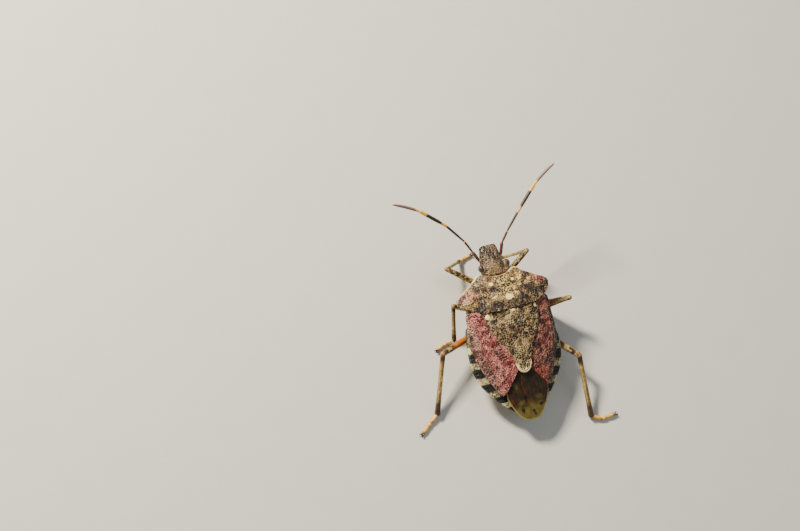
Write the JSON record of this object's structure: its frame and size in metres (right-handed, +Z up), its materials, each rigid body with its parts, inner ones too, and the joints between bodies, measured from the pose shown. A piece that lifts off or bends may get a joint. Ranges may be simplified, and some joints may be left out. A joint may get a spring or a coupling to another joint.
{
  "type": "brown marmorated stink bug",
  "caption": "Life-size still model of a brown shield bug standing on six feet, head raised, antennae spread forward and wings folded.",
  "frame": {"origin": "middle of the part's box, on the floor that its feet stand on", "axes": "+Z up, the head towards -Y, the animal's left side towards +X"},
  "size_m": [0.018, 0.0214, 0.0065],
  "materials": {
    "head": "punctured chitin, dark grey mottled cream",
    "shield": "punctured chitin, golden beige with dark pits",
    "wing": "punctured chitin, dusty crimson, with a smoky brown membrane",
    "eye": "glossy facets, dark brown",
    "underside": "pale tan chitin",
    "abdomen": "pale tan chitin with a blue-black and cream banded margin",
    "antenna": "dark brown chitin with yellow bands",
    "leg": "brown chitin speckled with cream, yellow feet"
  },
  "bodies": {
    "root": {"head": "head", "eye_left": "eye", "eye_right": "eye", "beak": "underside", "antenna_left": "antenna", "antenna_right": "antenna", "pronotum": "shield", "scutellum": "shield", "wing_left": "wing", "wing_right": "wing", "thorax": "underside", "abdomen": "abdomen", "leg_fore_left": "leg", "leg_fore_right": "leg", "leg_mid_left": "leg", "leg_mid_right": "leg", "leg_hind_left": "leg", "leg_hind_right": "leg"}
  },
  "joints": []
}
